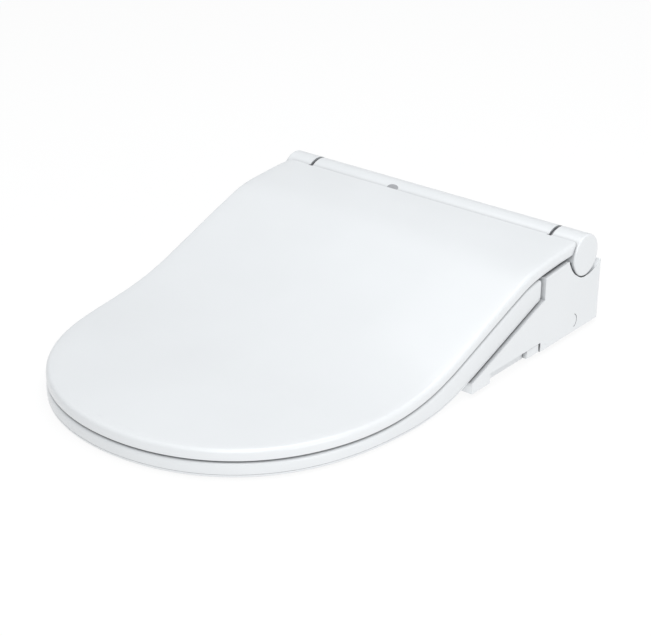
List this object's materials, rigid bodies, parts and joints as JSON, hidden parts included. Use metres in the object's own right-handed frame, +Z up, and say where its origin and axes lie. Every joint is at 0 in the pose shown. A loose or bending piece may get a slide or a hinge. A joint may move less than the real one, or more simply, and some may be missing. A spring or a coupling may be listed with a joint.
{
  "type": "electric bidet seat",
  "caption": "Slim D-shaped toilet seat and lid hinged on a wedge-shaped rear unit with a spray nozzle, warm-air dryer and a sliding base plate.",
  "frame": {"origin": "middle of the footprint on the bowl-rim plane", "axes": "+X to the right seen from the front, -Y towards the front of the lid, +Z up; the hinge axis runs along X"},
  "size_m": [0.383, 0.526, 0.1062],
  "materials": {
    "gloss_white": "gloss",
    "seat_white": "gloss",
    "satin_white": "satin",
    "grey_plastic": "satin",
    "natural_plastic": "satin",
    "dark_plastic": "satin",
    "rubber": "matte",
    "sensor_tint": "gloss",
    "circuit_green": "gloss",
    "steel": "brushed",
    "brass": "satin"
  },
  "bodies": {
    "rear_unit": {"upper_case": "gloss_white", "bar_cover": "gloss_white", "lower_case": "satin_white", "sensor_window": "sensor_tint", "sensor_board": "circuit_green", "control_board": "circuit_green", "power_supply": "dark_plastic", "cord_gland": "dark_plastic", "water_inlet": "brass", "inlet_valve": "natural_plastic", "drain_plug": "grey_plastic", "vacuum_breaker": "natural_plastic", "heater_tank": "steel", "water_pump": "dark_plastic", "flow_divider": "natural_plastic", "water_hoses": "rubber", "wiring": "rubber", "nozzle_housing": "natural_plastic", "nozzle_motor": "steel", "blower_housing": "dark_plastic", "blower_motor": "steel", "dryer_duct": "natural_plastic", "dryer_heater": "brass", "deodorizer_housing": "dark_plastic", "latch_housing": "grey_plastic", "lid_damper": "dark_plastic", "seat_damper": "dark_plastic", "case_screws": "steel"},
    "base_plate": {"base_plate": "grey_plastic", "base_pads": "rubber"},
    "seat": {"seat_top": "seat_white", "seat_bottom": "seat_white", "seat_heater": "brass", "seat_thermostat": "dark_plastic", "seat_buffers": "rubber", "seat_arm_left": "grey_plastic", "seat_arm_right": "grey_plastic", "seat_arm_screws": "steel"},
    "lid": {"lid_panel": "gloss_white", "lid_liner": "gloss_white", "lid_buffers": "rubber", "lid_hub_left": "gloss_white", "lid_hub_right": "gloss_white", "lid_shaft_left": "steel", "lid_shaft_right": "steel"},
    "nozzle": {"nozzle_wand": "natural_plastic", "nozzle_tip": "satin_white"},
    "pinion": {"nozzle_pinion": "brass"},
    "blower_wheel": {"blower_impeller": "grey_plastic"},
    "deodorizer_wheel": {"deodorizer_fan": "grey_plastic"},
    "flap": {"dryer_flap": "satin_white"},
    "filter_drawer": {"deodorizer_cartridge": "grey_plastic"},
    "release_button": {"release_button": "gloss_white"}
  },
  "joints": [
    {"name": "plate_slide", "type": "slide", "parent": "rear_unit", "child": "base_plate", "axis": [0, 1, 0], "range_m": [0, 0.04]},
    {"name": "seat_hinge", "type": "hinge", "parent": "rear_unit", "child": "seat", "pos_m": [0, 0.2305, 0.084], "axis": [-1, 0, 0], "range_deg": [0, 95]},
    {"name": "lid_hinge", "type": "hinge", "parent": "seat", "child": "lid", "pos_m": [0, 0.2305, 0.084], "axis": [1, 0, 0], "range_deg": [-105, 0]},
    {"name": "nozzle_slide", "type": "slide", "parent": "rear_unit", "child": "nozzle", "axis": [0, -0.9397, -0.342], "range_m": [0, 0.081]},
    {"name": "pinion_turn", "type": "hinge", "parent": "rear_unit", "child": "pinion", "pos_m": [0.01425, 0.10601, 0.02629], "axis": [0, -0.342, 0.9397], "range_deg": [0, 773.5]},
    {"name": "blower_spin", "type": "hinge", "parent": "rear_unit", "child": "blower_wheel", "pos_m": [0.06, 0.188, 0.042], "axis": [1, 0, 0], "continuous": true},
    {"name": "deodorizer_spin", "type": "hinge", "parent": "rear_unit", "child": "deodorizer_wheel", "pos_m": [-0.11, 0.115, 0.02], "axis": [0, 0, 1], "continuous": true},
    {"name": "flap_hinge", "type": "hinge", "parent": "rear_unit", "child": "flap", "pos_m": [0.062, 0.08, 0.0206], "axis": [-1, 0, 0], "range_deg": [0, 60]},
    {"name": "filter_slide", "type": "slide", "parent": "rear_unit", "child": "filter_drawer", "axis": [-1, 0, 0], "range_m": [0, 0.045]},
    {"name": "release_press", "type": "slide", "parent": "rear_unit", "child": "release_button", "axis": [-1, 0, 0], "range_m": [0, 0.0035], "stiffness_N_per_m": 400}
  ],
  "couplings": [
    {"joint": "pinion_turn", "follows": "nozzle_slide", "rad_per_m": 166.67}
  ]
}
